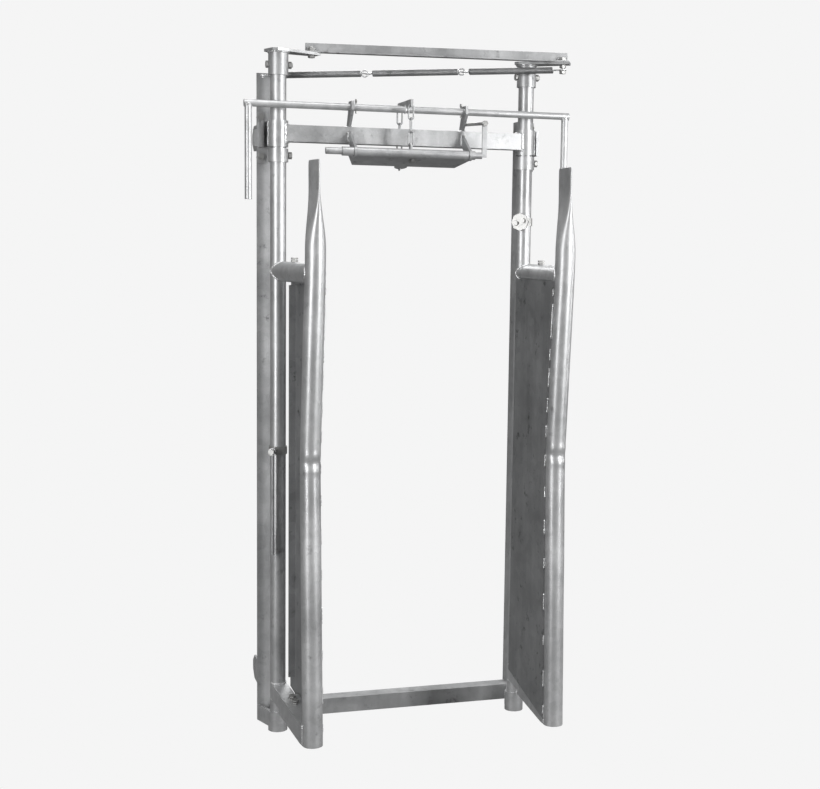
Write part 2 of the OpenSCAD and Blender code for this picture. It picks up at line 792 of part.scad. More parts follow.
// Flap with a rounded lobe at the back, its rim held by the last link of the rear chain
module latch_plate() {
    notch = plate_t + 6;
    galvanised() difference() {
        union() {
            latch_frame() translate([0, 0, -flap_t / 2]) {
                linear_extrude(flap_t) difference() {
                    polygon([[-flap_front, 0], [flap_front, 0],
                             [flap_rear, flap_depth], [-flap_rear, flap_depth]]);
                    for (side = [-1, 1])
                        translate([side * bracket_x - notch / 2, -1]) square([notch, 41]);
                }
                translate([lever_x, rim_reach + rim - lobe_r, 0]) cylinder(r = lobe_r, h = flap_t);
                translate([lever_x - lobe_r, flap_depth - 1, 0])
                    cube([2 * lobe_r, rim_reach + rim - lobe_r - flap_depth + 1, flap_t]);
            }
            yz_plate(lever_x, shackle_t, [[-rod_y - 10, rod_z], [-rod_y - 10, rod_z + shackle_h],
                [-rod_y - 5, rod_z + shackle_h + 9], [-rod_y + 5, rod_z + shackle_h + 9],
                [-rod_y + 10, rod_z + shackle_h], [-rod_y + 10, rod_z]]);
        }
        latch_frame() {
            bar_x(latch_tube_od + 2 * weld_gap, -gate_w, gate_w);
            translate([lever_x, rim_reach - rim - chain_hole / 2, -flap_t])
                cylinder(d = chain_hole, h = 2 * flap_t);
            translate([11, 52, -flap_t]) cylinder(d = leaf_bolt_d + 2 * bolt_gap, h = 2 * flap_t);
        }
        translate([lever_x - shackle_t, -rod_y, rod_z + shackle_h])
            bar_x(chain_hole, 0, 2 * shackle_t);
    }
}

module latch_bolt() {
    fastener() latch_frame() translate([11, 52, -flap_t / 2]) bolt(leaf_bolt_d, flap_t);
}

// ---- chains ----
// A rectangle with its corners cut off, centred on the origin
module cut_corner_rect(half_x, half_y, cut) {
    polygon([[half_x, cut - half_y], [half_x, half_y - cut], [half_x - cut, half_y],
             [cut - half_x, half_y], [-half_x, half_y - cut], [-half_x, cut - half_y],
             [cut - half_x, -half_y], [half_x - cut, -half_y]]);
}

// One link standing in the XZ plane with its long side up
module chain_link(pitch) {
    half_x = chain_inner_w / 2;
    half_z = (pitch + chain_play) / 2;
    rotate([90, 0, 0]) translate([0, 0, -chain_wire / 2]) linear_extrude(chain_wire)
        difference() {
            cut_corner_rect(half_x + chain_wire, half_z + chain_wire, chain_wire);
            cut_corner_rect(half_x, half_z, half_x - chain_wire / 2);
        }
}

// Chain of n links hung from the point [y, z], the lowest wire centred at the given height
module chain(top, low_z, n) {
    pitch = (top[1] - low_z - chain_wire - chain_play) / n;
    first = top[1] - chain_wire / 2 - chain_play / 2 - pitch / 2;
    spring_steel() for (i = [0 : n - 1])
        translate([lever_x, top[0], first - i * pitch]) rotate(90 * (i % 2)) chain_link(pitch);
}

rim_z = rod_z - rim_reach * sin(flap_slope);
module rear_chain() chain(lever_rear, rim_z - flap_t / 2 - chain_wire / 2 - 1.2, 4);
module front_chain() chain(lever_front, rod_z + shackle_h, 3);

// ---- hanging rod and pipe clamps ----
module clamp_frame(angle, z) rotate(angle) translate([0, 0, z]) children();

module rod_clamp() {
    fastener() at_left() clamp_frame(clamp_angle, clamp_z) {
        translate([0, 0, -clamp_h / 2]) tube(bush_od - 4, cap_bore, clamp_h);
        bar_x(12, bush_r - 4, rod_eye_r + 10);
        translate([rod_eye_r + 8, 0, 0]) rotate([0, 90, 0]) cylinder(d = 20, h = 7, $fn = 6);
    }
}

module hanging_rod() {
    eye_t = 9;
    galvanised() at_left() clamp_frame(clamp_angle, clamp_z) translate([rod_eye_r, 0, 0]) {
        difference() {
            union() {
                bar_x(24, -eye_t / 2, eye_t / 2);
                translate([0, 0, -hang_len]) cylinder(d = hang_d - 2.4, h = hang_len - 8);
                translate([0, 0, -hang_len - 0.5]) cylinder(d = hang_d, h = 60);
            }
            bar_x(12 + 2 * run_gap, -eye_t, eye_t);
        }
    }
}

module right_clamp() {
    plate_r = 28;
    fastener() at_right() clamp_frame(right_clamp_angle, right_clamp_z) {
        difference() {
            union() {
                translate([0, 0, -12]) tube(bush_od - 4, cap_bore, 24);
                translate([bush_r - 4, 0, 0]) rotate([0, 90, 0])
                    cylinder(r = plate_r, h = plate_t, $fn = 8);
            }
            translate([0, 0, -plate_r - 5]) cylinder(d = cap_bore, h = 2 * plate_r + 10);
        }
        for (s = [-1, 1])
            translate([bush_r - 4 + plate_t, 12 * s, 4 * s]) rotate([0, 90, 0])
                cylinder(d = 16, h = 9, $fn = 6);
    }
}

left_upright();
right_upright();
sill();
top_rail();
left_bush();
right_bush();
left_post_bracket();
right_post_bracket();
post_bracket_bolts();
left_foot_socket();
right_foot_socket();
left_foot_bracket();
right_foot_bracket();
mount_lugs();
shaft_brackets();
rod_lugs();
hinge_rod();
rod_keeper();
keeper_bolt();
left_pivot_pipe();
left_cap();
left_collar();
left_upper_arm();
left_upper_sleeve();
left_lower_arm();
left_lower_sleeve();
left_neck_pipe();
left_sheet();
left_pivot_bolts();
left_set_bolts();
right_pivot_pipe();
right_cap();
right_collar();
right_upper_arm();
right_upper_sleeve();
right_lower_arm();
right_lower_sleeve();
right_neck_pipe();
right_sheet();
right_pivot_bolts();
right_set_bolts();
left_link_bolt();
right_link_bolt();
link_bar();
link_nut();
operating_shaft();
left_handle();
right_handle();
shaft_lever();
shaft_cotters();
latch_tube();
latch_plate();
latch_bolt();
rear_chain();
front_chain();
springs();
spring_hooks();
rod_clamp();
hanging_rod();
right_clamp();
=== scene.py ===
"""Looks for a galvanised walk-through head gate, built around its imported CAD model. Metres, +Z up."""
import json
import math

import bmesh
import bpy
from mathutils import Matrix, Vector, noise


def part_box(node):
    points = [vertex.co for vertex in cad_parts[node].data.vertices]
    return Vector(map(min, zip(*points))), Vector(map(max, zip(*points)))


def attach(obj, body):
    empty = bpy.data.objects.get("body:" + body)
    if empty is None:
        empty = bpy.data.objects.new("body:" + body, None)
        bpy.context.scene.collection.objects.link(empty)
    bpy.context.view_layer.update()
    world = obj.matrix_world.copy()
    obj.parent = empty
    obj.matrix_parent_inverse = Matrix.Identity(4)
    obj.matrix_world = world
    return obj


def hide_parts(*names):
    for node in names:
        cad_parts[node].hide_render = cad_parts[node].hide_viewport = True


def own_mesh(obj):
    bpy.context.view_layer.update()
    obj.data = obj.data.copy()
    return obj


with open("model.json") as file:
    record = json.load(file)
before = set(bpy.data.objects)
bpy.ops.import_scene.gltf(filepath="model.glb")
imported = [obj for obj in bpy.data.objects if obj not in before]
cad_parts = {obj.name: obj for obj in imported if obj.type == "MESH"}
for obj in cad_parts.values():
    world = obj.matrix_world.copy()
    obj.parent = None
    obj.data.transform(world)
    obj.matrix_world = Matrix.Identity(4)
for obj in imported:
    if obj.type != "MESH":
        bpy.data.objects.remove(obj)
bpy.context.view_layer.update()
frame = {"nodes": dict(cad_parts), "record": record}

# ---- sizes that the pieces share ----
HALF_GATE = 0.395
PIVOT_R = 0.02415
BUSH_R = 0.03015
LEFT_OPEN = 8
RIGHT_OPEN = 2
UPPER_ARM_Z = 1.444
LOWER_ARM_Z = 0.130
LOWER_FALL = 7.5
LOWER_BOX = 0.060
ARM_BEAD_HALF = 0.025
BEND_Z = 0.900
NECK_BOTTOM = 0.060
NECK_TOP = 1.764
FLAT_START = 1.510
FLAT_END = 1.706
PLATE = 0.008
LEVER_X = -0.008
CHAIN_WIRE = 0.005
CHAIN_HALF_WIDTH = 0.0075
SPRING_WIRE = 0.0032
SPRING_R = 0.0102
SPRING_LENGTH = 0.266
SPRING_GAP = 0.036
SPRING_HOLE = Vector((-0.430, 0.068, 2.034))
SPRING_TAPER = 0.012
HOOK_WIRE = 0.0048
HOOK_RING_R = 0.0095
BOLT_LOOP_R = 0.0106


# ---- materials ----
def new_material(name):
    """A material with one Principled shader, its node tree and that shader."""
    mat = bpy.data.materials.new(name)
    mat.use_nodes = True
    tree = mat.node_tree
    tree.nodes.clear()
    out = tree.nodes.new("ShaderNodeOutputMaterial")
    bsdf = tree.nodes.new("ShaderNodeBsdfPrincipled")
    tree.links.new(bsdf.outputs["BSDF"], out.inputs["Surface"])
    return mat, tree, bsdf


def add_node(tree, kind, **inputs):
    node = tree.nodes.new(kind)
    for key, value in inputs.items():
        node.inputs[key].default_value = value
    return node


def ramp(tree, source, stops):
    """A grey value for each stop of (place, grey), blended in between."""
    node = tree.nodes.new("ShaderNodeValToRGB")
    tree.links.new(source, node.inputs["Fac"])
    elements = node.color_ramp.elements
    while len(elements) < len(stops):
        elements.new(0.5)
    for element, (place, grey) in zip(elements, stops):
        element.position = place
        element.color = (grey, grey, grey, 1)
    return node.outputs["Color"]


def mix(tree, kind, amount, first, second):
    node = tree.nodes.new("ShaderNodeMix")
    node.data_type = "RGBA"
    node.blend_type = kind
    for socket, value in ((node.inputs[0], amount), (node.inputs[6], first), (node.inputs[7], second)):
        if isinstance(value, bpy.types.NodeSocket):
            tree.links.new(value, socket)
        else:
            socket.default_value = value
    return node.outputs[2]


def galvanised(name, dark, light, rough, spangle=60.0, stain=0.5, bump=0.2):
    """Zinc: crystal spangle, cloudy patina, fine grain, run marks down the part and dark stains."""
    mat, tree, bsdf = new_material(name)
    coords = tree.nodes.new("ShaderNodeTexCoord").outputs["Object"]
    crystals = add_node(tree, "ShaderNodeTexVoronoi", Scale=spangle)
    crystals.feature = "F1"
    warp = add_node(tree, "ShaderNodeTexNoise", Scale=18.0, Detail=2.0)
    clouds = add_node(tree, "ShaderNodeTexNoise", Scale=5.5, Detail=6.0, Roughness=0.62)
    grain = add_node(tree, "ShaderNodeTexNoise", Scale=420.0, Detail=3.0)
    stretch = add_node(tree, "ShaderNodeMapping", Scale=(34.0, 34.0, 2.2))
    runs = add_node(tree, "ShaderNodeTexNoise", Scale=1.0, Detail=4.0, Roughness=0.55)
    spots = add_node(tree, "ShaderNodeTexNoise", Scale=23.0, Detail=5.0, Roughness=0.7)
    for node in (warp, clouds, grain, stretch, spots):
        tree.links.new(coords, node.inputs["Vector"])
    tree.links.new(stretch.outputs["Vector"], runs.inputs["Vector"])
    tree.links.new(mix(tree, "LINEAR_LIGHT", 0.02, coords, warp.outputs["Color"]),
                   crystals.inputs["Vector"])
    facets = ramp(tree, crystals.outputs["Color"], [(0.1, 0.86), (0.9, 1.0)])
    base = mix(tree, "MIX", ramp(tree, clouds.outputs["Fac"], [(0.32, 0.0), (0.68, 1.0)]),
               (*dark, 1), (*light, 1))
    base = mix(tree, "MULTIPLY", 0.9, base, facets)
    layers = ((0.3, runs, [(0.36, 0.72), (0.6, 1.0)]), (stain, spots, [(0.29, 0.25), (0.4, 1.0)]),
              (0.5, grain, [(0.3, 0.8), (0.65, 1.0)]))
    for amount, texture, stops in layers:
        base = mix(tree, "MULTIPLY", amount, base, ramp(tree, texture.outputs["Fac"], stops))
    tree.links.new(base, bsdf.inputs["Base Color"])
    roughness = ramp(tree, clouds.outputs["Fac"], [(0.25, rough - 0.08), (0.75, rough + 0.14)])
    tree.links.new(mix(tree, "MULTIPLY", 0.25, roughness, facets), bsdf.inputs["Roughness"])
    bsdf.inputs["Metallic"].default_value = 0.6
    heights = mix(tree, "ADD", 0.5, mix(tree, "MIX", 0.5, grain.outputs["Fac"], clouds.outputs["Fac"]),
                  facets)
    relief = add_node(tree, "ShaderNodeBump", Strength=bump, Distance=0.0006)
    tree.links.new(heights, relief.inputs["Height"])
    tree.links.new(relief.outputs["Normal"], bsdf.inputs["Normal"])
    return mat


MATERIALS = {
    "galvanised_tube": galvanised("galvanised_tube", (0.43, 0.435, 0.44), (0.60, 0.605, 0.61), 0.38),
    "galvanised_plate": galvanised("galvanised_plate", (0.38, 0.385, 0.39), (0.54, 0.545, 0.55), 0.42,
                                   spangle=48.0, stain=0.7),
    "galvanised_sheet": galvanised("galvanised_sheet", (0.25, 0.254, 0.258), (0.33, 0.334, 0.338), 0.48,
                                   spangle=34.0, stain=0.9),
    "zinc_fastener": galvanised("zinc_fastener", (0.34, 0.34, 0.335), (0.50, 0.50, 0.49), 0.36,
                                spangle=150.0, stain=0.6),
    "chain_zinc": galvanised("chain_zinc", (0.34, 0.345, 0.35), (0.50, 0.505, 0.51), 0.34,
                             spangle=160.0, stain=0.7),
    "spring_steel": galvanised("spring_steel", (0.20, 0.202, 0.205), (0.36, 0.363, 0.367), 0.36,
                               spangle=120.0, stain=0.6),
    "weld_zinc": galvanised("weld_zinc", (0.62, 0.625, 0.63), (0.88, 0.885, 0.89), 0.26,
                            spangle=140.0, stain=0.4, bump=0.35),
}
SLOT_OF = {part["node"]: part["material_slot"] for part in frame["record"]["subparts"]}


def paint(obj, name):
    obj.data.materials.clear()
    obj.data.materials.append(MATERIALS[name])


def paint_cad():
    """Each CAD node takes the material of its slot in the record."""
    for name, obj in frame["nodes"].items():
        material = MATERIALS[SLOT_OF[name]]
        if obj.data.materials:
            for slot in obj.material_slots:
                slot.material = material
        else:
            obj.data.materials.append(material)


# ---- mesh helpers ----
def make_piece(name, bm, material, body, nodes=()):
    """A smooth-shaded object that rides a body and stands in for its CAD nodes, if it has any."""
    bmesh.ops.recalc_face_normals(bm, faces=bm.faces)
    mesh = bpy.data.meshes.new(name)
    bm.to_mesh(mesh)
    bm.free()
    obj = bpy.data.objects.new(name, mesh)
    bpy.context.collection.objects.link(obj)
    for poly in mesh.polygons:
        poly.use_smooth = True
    paint(obj, material)
    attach(obj, body)
    if nodes:
        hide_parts(*nodes)
    return obj


def sweep(bm, path, radius, sides=12, closed=False):
    """A round wire or bar along a path, its rings turned as little as possible from one to the next."""
    count = len(path)
    rings = []
    side = None
    for i, point in enumerate(path):
        before = path[i - 1] if i or closed else path[0]
        after = path[(i + 1) % count] if i + 1 < count or closed else path[-1]
        along = (after - before).normalized()
        if side is None:
            side = along.orthogonal().normalized()
        side = (side - along * side.dot(along)).normalized()
        up = along.cross(side)
        r = radius(i / max(count - 1, 1)) if callable(radius) else radius
        rings.append([bm.verts.new(point + (side * math.cos(a) + up * math.sin(a)) * r)
                      for a in (2 * math.pi * k / sides for k in range(sides))])
    pairs = list(zip(rings, rings[1:])) + ([(rings[-1], rings[0])] if closed else [])
    for low, high in pairs:
        for k in range(sides):
            bm.faces.new((low[k], low[(k + 1) % sides], high[(k + 1) % sides], high[k]))
    if not closed:
        bm.faces.new(list(reversed(rings[0])))
        bm.faces.new(rings[-1])


def leaf_matrix(side):
    """Local +X runs out along the leaf, +Y faces the cattle side, +Z is up, as in the CAD."""
    if side == "left":
        turn = Matrix.Rotation(math.radians(LEFT_OPEN - 90), 4, "Z")
        return Matrix.Translation((-HALF_GATE, 0, 0)) @ turn
    turn = Matrix.Rotation(math.radians(RIGHT_OPEN - 90), 4, "Z")
    return Matrix.Translation((HALF_GATE, 0, 0)) @ turn @ Matrix.Scale(-1, 4, (0, 1, 0))


# ---- weld beads ----
def bead(bm, points, size, seed, closed=False):
    """A fused bead: a rough half-round ridge with the ripples of each pass."""
    def ripple(i):
        wave = 1 + 0.16 * math.sin(i * 1.9) + 0.22 * noise.noise(Vector((i * 0.31, seed, 0.5)))
        return size * wave
    path = [p + Vector((noise.noise(p * 90 + Vector((seed, 0, 0))),
                        noise.noise(p * 90 + Vector((0, seed, 0))),
                        noise.noise(p * 90 + Vector((0, 0, seed))))) * size * 0.35 for p in points]
    count = len(path)
    sweep(bm, path, lambda t: ripple(t * count), sides=8, closed=closed)


def circle_points(centre, axis, radius, step=0.003):
    """Points about a step apart round a circle."""
    axis = Vector(axis).normalized()
    first = axis.orthogonal().normalized() if abs(axis.z) < 0.99 else Vector((1, 0, 0))
    second = axis.cross(first)
    count = max(12, int(radius * 2 * math.pi / step))
    return [Vector(centre) + (first * math.cos(a) + second * math.sin(a)) * radius
            for a in (2 * math.pi * k / count for k in range(count))]


def line_points(start, end, step=0.003):
    """Points about a step apart along a straight line, both ends included."""
    start, end = Vector(start), Vector(end)
    count = max(3, int((end - start).length / step))
    return [start.lerp(end, k / count) for k in range(count + 1)]


# ---- neck pipes: round tube, creased at the bend, pressed flat at the top ----
def neck_centre(z):
    """Reach of the pipe's middle from the pivot at a height, through rounded bends."""
    knots = [(NECK_BOTTOM, 0.333), (BEND_Z, 0.302), (1.450, 0.342), (1.522, 0.345), (1.702, 0.328),
             (1.9, 0.328)]
    softness = {BEND_Z: 0.030, 1.450: 0.05, 1.545: 0.045, 1.702: 0.05}

    def straight(height):
        for (z0, u0), (z1, u1) in zip(knots, knots[1:]):
            if height <= z1 or z1 == knots[-1][0]:
                return u0 + (u1 - u0) * (height - z0) / (z1 - z0)
        return knots[-1][1]
    near = [(abs(z - k), w) for k, w in softness.items() if abs(z - k) < w]
    if not near:
        return straight(z)
    width = near[0][1]
    steps = 8
    samples = [straight(z + width * (2 * k / steps - 1)) for k in range(steps + 1)]
    return sum(samples) / len(samples)


def neck_section(z, angle):
    """Offset of the pipe's skin from its middle, as (along the leaf, across it)."""
    t = min(max((z - FLAT_START) / (FLAT_END - FLAT_START), 0), 1)
    t = t * t * (3 - 2 * t)
    half_w = BUSH_R + (0.0455 - BUSH_R) * t
    half_t = BUSH_R + (0.0042 - BUSH_R) * t
    corner = min(max((z - (NECK_TOP - 0.012)) / 0.012, 0), 1)
    half_w -= 0.004 * corner * corner
    power = 1 + 0.9 * t
    c, s = math.cos(angle), math.sin(angle)
    u = math.copysign(abs(c) ** (1 / power), c) * half_w
    n = math.copysign(abs(s) ** (1 / (1 + 0.15 * t)), s) * half_t
    # the crease on the inside of the bend, with the skin swollen above and below it
    d = (z - BEND_Z) / 0.012
    if abs(d) < 6:
        inside = max(0.0, c) ** 1.5
        swell = 0.0016 * math.exp(-((abs(d) - 1.9) ** 2)) - 0.0030 * math.exp(-d * d)
        u += swell * inside * c
        n += swell * inside * s
        ridge = 0.0013 * math.exp(-(d * 1.6) ** 2) * max(0.0, -c)
        u -= ridge
    wobble = noise.noise(Vector((c * 1.3, s * 1.3, z * 5.0))) * 0.0005 * (1 - t)
    return u * (1 + wobble / BUSH_R), n * (1 + wobble / BUSH_R)


def neck_heights():
    """Heights of the pipe's rings, closer together at the bend and where it is flattened."""
    heights = [NECK_BOTTOM, NECK_BOTTOM + 0.0004, NECK_BOTTOM + 0.002]
    z = 0.08
    while z < 1.50:
        near_bend = abs(z - BEND_Z) < 0.07
        heights.append(z)
        z += 0.0035 if near_bend else 0.02
    heights += [1.50 + 0.008 * k for k in range(28)]
    heights += [1.722, 1.733, 1.745, 1.752, 1.757, 1.760, 1.7625, NECK_TOP]
    return heights


def neck_pipe(side):
    """The pipe's skin, a stack of rings closed at both ends."""
    place = leaf_matrix(side)
    around = 48
    bm = bmesh.new()
    rings = []
    for z in neck_heights():
        middle = neck_centre(z)
        offsets = [neck_section(z, 2 * math.pi * k / around) for k in range(around)]
        rings.append([bm.verts.new(place @ Vector((middle + u, n, z))) for u, n in offsets])
    for low, high in zip(rings, rings[1:]):
        for k in range(around):
            m = (k + 1) % around
            bm.faces.new((low[k], low[m], high[m], high[k]))
    bm.faces.new(rings[0])
    bm.faces.new(rings[-1])
    make_piece(f"{side}_neck_pipe_skin", bm, "galvanised_tube", f"{side}_neck",
               nodes=(f"{side}_neck_pipe",))


def neck_welds(side):
    """Beads where the sleeves and the sheet meet the neck pipe."""
    place = leaf_matrix(side)
    bm = bmesh.new()
    seed = 3.1 if side == "left" else 8.7

    # the upper sleeve runs into the pipe: follow the crossing of two equal cylinders
    middle = neck_centre(UPPER_ARM_Z)
    points = []
    for k in range(96):
        a = 2 * math.pi * k / 96
        n, h = math.cos(a) * BUSH_R, math.sin(a) * BUSH_R
        reach = middle - math.sqrt(max(BUSH_R ** 2 - n * n, 0)) + 0.0005
        reach = min(reach, middle - 0.0035)
        points.append(place @ Vector((reach, n * 1.01, UPPER_ARM_Z + h * 1.02)))
    bead(bm, points, 0.0034, seed, closed=True)

    # the lower sleeve's top and sides
    for sign in (-1, 1):
        n = sign * LOWER_BOX / 2
        points = []
        for k in range(20):
            drop = -LOWER_BOX * k / 19
            top = LOWER_ARM_Z + LOWER_BOX / 2 - 0.328 * math.tan(math.radians(LOWER_FALL)) + drop
            if top > 0.063:
                points.append(place @ Vector((0.327, n, top)))
        bead(bm, points, 0.0030, seed + sign)
    points = []
    for k in range(31):
        n = LOWER_BOX / 2 * (2 * k / 30 - 1)
        reach = neck_centre(0.1) - math.sqrt(max(BUSH_R ** 2 - n * n, 0))
        z = LOWER_ARM_Z + LOWER_BOX / 2 - reach * math.tan(math.radians(LOWER_FALL)) + 0.0008
        points.append(place @ Vector((reach, n, z)))
    bead(bm, points, 0.0032, seed + 4)

    # short runs down the edge of the sheet
    spans = [(1.405, 1.385), (1.36, 1.255), (1.225, 1.19), (1.165, 1.11), (1.075, 1.03), (0.99, 0.955),
             (0.90, 0.865), (0.80, 0.77), (0.70, 0.655), (0.58, 0.55), (0.47, 0.42), (0.34, 0.31),
             (0.23, 0.18), (0.12, 0.095)]
    for index, (top, low) in enumerate(spans):
        points = [place @ Vector((neck_centre(z) - 0.0035, BUSH_R + 0.0022, z))
                  for z in (top + (low - top) * k / 14 for k in range(15))]
        bead(bm, points, 0.0026, seed + index)
    make_piece(f"{side}_neck_welds", bm, "weld_zinc", f"{side}_neck")


def leaf_welds(side):
    """Beads on the pivot pipe: round the cap's sleeve, at the upper arm and at the lower arm."""
    place = leaf_matrix(side)
    x = -HALF_GATE if side == "left" else HALF_GATE
    bm = bmesh.new()
    cap_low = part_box(f"{side}_cap")[1].z - PLATE
    bead(bm, circle_points((x, 0, cap_low - 0.0012), (0, 0, 1), BUSH_R + 0.0008), 0.0026, 1.5, closed=True)
    points = []
    for k in range(80):
        a = 2 * math.pi * k / 80
        n, h = math.cos(a) * PIVOT_R, math.sin(a) * PIVOT_R
        reach = max(math.sqrt(max(PIVOT_R ** 2 - n * n, 0)), 0.004)
        points.append(place @ Vector((reach, n * 1.02, UPPER_ARM_Z + h * 1.03)))
    bead(bm, points, 0.0030, 2.5, closed=True)
    for level in (-1, 1):
        points = []
        for k in range(25):
            n = 0.0238 * (2 * k / 24 - 1)
            reach = math.sqrt(PIVOT_R ** 2 - n * n)
            z = LOWER_ARM_Z + level * ARM_BEAD_HALF / math.cos(math.radians(LOWER_FALL))
            z = z - reach * math.tan(math.radians(LOWER_FALL)) + level * 0.001
            points.append(place @ Vector((reach, n, z)))
        bead(bm, points, 0.0028, 6 + level)
    make_piece(f"{side}_leaf_welds", bm, "weld_zinc", f"{side}_leaf")


def frame_welds():
    """Beads on the rail, bushes, brackets, sockets and sill."""
    bm = bmesh.new()
    rail_low, rail_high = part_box("top_rail")
    depth = rail_high.y
    for side, x in ((1, -HALF_GATE), (-1, HALF_GATE)):
        # rail to bush: two level beads and the two upright ones
        for z in (rail_low.z - 0.001, rail_high.z + 0.001):
            points = [Vector((x + side * math.sqrt(BUSH_R ** 2 - y * y), y, z))
                      for y in (depth * (2 * k / 26 - 1) for k in range(27))]
            bead(bm, points, 0.0036, 11 + z)
        for y in (-depth - 0.0006, depth + 0.0006):
            edge = x + side * (math.sqrt(BUSH_R ** 2 - depth ** 2) + 0.0008)
            bead(bm, line_points((edge, y, rail_low.z), (edge, y, rail_high.z)), 0.0036, 12 + y * 100)
        # post bracket's two side plates to the bush
        low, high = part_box("left_bush")
        for distance, y in ((0.0240, 0.0180), (0.0305, 0.0010)):
            px = x - side * distance
            points = line_points((px, y, low.z + 0.002), (px, y, high.z - 0.002))
            bead(bm, points, 0.0030, 14 + distance * 100)
        # socket to foot plates
        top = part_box("left_foot_bracket")[1].z
        for distance, y in ((0.0268, 0.0130), (-0.0235, 0.0185)):
            px = x - side * distance
            bead(bm, line_points((px, y, 0.012), (px, y, top)), 0.0028, 17 + distance * 100)
    sill_low, sill_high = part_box("sill")
    for x in (sill_low.x, sill_high.x):
        inner = 0.0012 * (1 if x < 0 else -1)
        bead(bm, line_points((x + inner, sill_low.y - 0.0004, sill_low.z),
                             (x + inner, sill_low.y - 0.0004, sill_high.z)), 0.0028, 21 + x)
    for node in ("shaft_brackets", "rod_lugs"):
        low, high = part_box(node)
        for x in (low.x + PLATE / 2, high.x - PLATE / 2):
            for sign in (-1, 1):
                edge = x + sign * (PLATE / 2 + 0.0006)
                if node == "shaft_brackets":
                    ends = ((edge, -0.024, rail_high.z + 0.0006), (edge, 0.006, rail_high.z + 0.0006))
                else:
                    ends = ((edge, rail_low.y - 0.0006, rail_low.z + 0.003),
                            (edge, rail_low.y - 0.0006, rail_low.z + 0.038))
                bead(bm, line_points(*ends), 0.0024, 23 + sign + x)
    make_piece("frame_welds", bm, "weld_zinc", "frame")


def shaft_welds():
    """Beads where the handles and the lever meet the operating shaft."""
    bm = bmesh.new()
    low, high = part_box("operating_shaft")
    centre_y, centre_z = (low.y + high.y) / 2, (low.z + high.z) / 2
    radius = (high.z - low.z) / 2
    for node in ("left_handle", "right_handle"):
        a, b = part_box(node)
        x = (a.x + b.x) / 2
        points = []
        for k in range(72):
            t = 2 * math.pi * k / 72
            px, py = math.cos(t) * radius, math.sin(t) * radius
            drop = max(math.sqrt(max(radius ** 2 - py * py, 0)), 0.0022)
            points.append(Vector((x + px * 1.03, centre_y + py * 1.03, centre_z - drop)))
        bead(bm, points, 0.0018, 31 + x, closed=True)
    for side in (-1, 1):
        ring = circle_points((LEVER_X + side * 0.0048, centre_y, centre_z), (1, 0, 0), radius + 0.0006)
        bead(bm, ring, 0.0020, 33 + side, closed=True)
    make_piece("shaft_welds", bm, "weld_zinc", "shaft")


# ---- springs ----
def spring_axis():
    """Ends of the line of springs: the hole in the left upright and the right link bolt."""
    bolt_low, bolt_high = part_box("right_link_bolt")
    end = Vector(((bolt_low.x + bolt_high.x) / 2, (bolt_low.y + bolt_high.y) / 2, 0))
    end.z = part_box("right_cap")[1].z - PLATE - 0.016
    return SPRING_HOLE, end


def spring_line():
    """Three close-wound springs, the rings that join them and the hooks at both ends."""
    start, end = spring_axis()
    along = (end - start).normalized()
    side = along.cross(Vector((0, 0, 1))).normalized()
    up = side.cross(along)
    length, gap = SPRING_LENGTH, SPRING_GAP
    lead = ((end - start).length - 3 * length - 2 * gap) / 2
    coil_r = SPRING_R - SPRING_WIRE / 2
    bm = bmesh.new()
    hooks = bmesh.new()

    def at(distance, angle, r):
        return start + along * distance + (side * math.cos(angle) + up * math.sin(angle)) * r
    for i in range(3):
        first = lead + i * (length + gap)
        turns = int(length / (SPRING_WIRE * 1.04))
        steps = 14
        path = []
        # from the axis out to the coil, round the coil, then back in to the axis
        path += [at(first - SPRING_TAPER + SPRING_TAPER * k / 5, 0, coil_r * (k / 5) ** 0.7)
                 for k in range(5)]
        path += [at(first + length * k / (turns * steps), 2 * math.pi * k / steps, coil_r)
                 for k in range(turns * steps + 1)]
        last = 2 * math.pi * turns
        path += [at(first + length + SPRING_TAPER * k / 5, last, coil_r * (1 - k / 5) ** 0.7)
                 for k in range(1, 6)]
        sweep(bm, path, SPRING_WIRE / 2, sides=7)
    # two rings join each pair of springs, the second turned a quarter from the first
    for i in range(2):
        middle = lead + length + i * (length + gap) + gap / 2
        for sign in (-1, 1):
            centre = start + along * (middle + sign * 0.0055)
            across = side if sign > 0 else up
            ring = [centre + (along * math.cos(a) + across * math.sin(a)) * HOOK_RING_R
                    for a in (2 * math.pi * k / 28 for k in range(28))]
            sweep(hooks, ring, HOOK_WIRE / 2, sides=8, closed=True)
    # left hook through the upright, right loop round the bolt
    hook = [start + along * (lead - SPRING_TAPER), start + along * (lead * 0.5), start + along * 0.004]
    hook += [start + Vector((-0.0035, 0.004, 0)), start + Vector((-0.0035, 0.014, 0)),
             start + Vector((-0.002, 0.0185, 0)), start + Vector((0.004, 0.0205, 0.001)),
             start + Vector((0.012, 0.0185, 0.001))]
    sweep(hooks, smooth_path(hook, 6), 0.0024, sides=10)
    ring = [end + (along * math.cos(a) + side * math.sin(a)) * BOLT_LOOP_R
            for a in (2 * math.pi * k / 32 for k in range(32))]
    sweep(hooks, ring, 0.0022, sides=8, closed=True)
    tail = [end - along * (lead + 0.002), end - along * (lead * 0.6), end - along * BOLT_LOOP_R]
    sweep(hooks, smooth_path(tail, 5), 0.0022, sides=8)
    for piece in (make_piece("closing_springs", bm, "spring_steel", "spring_line", nodes=("springs",)),
                  make_piece("spring_joints", hooks, "weld_zinc", "spring_line", nodes=("spring_hooks",))):
        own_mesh(piece)


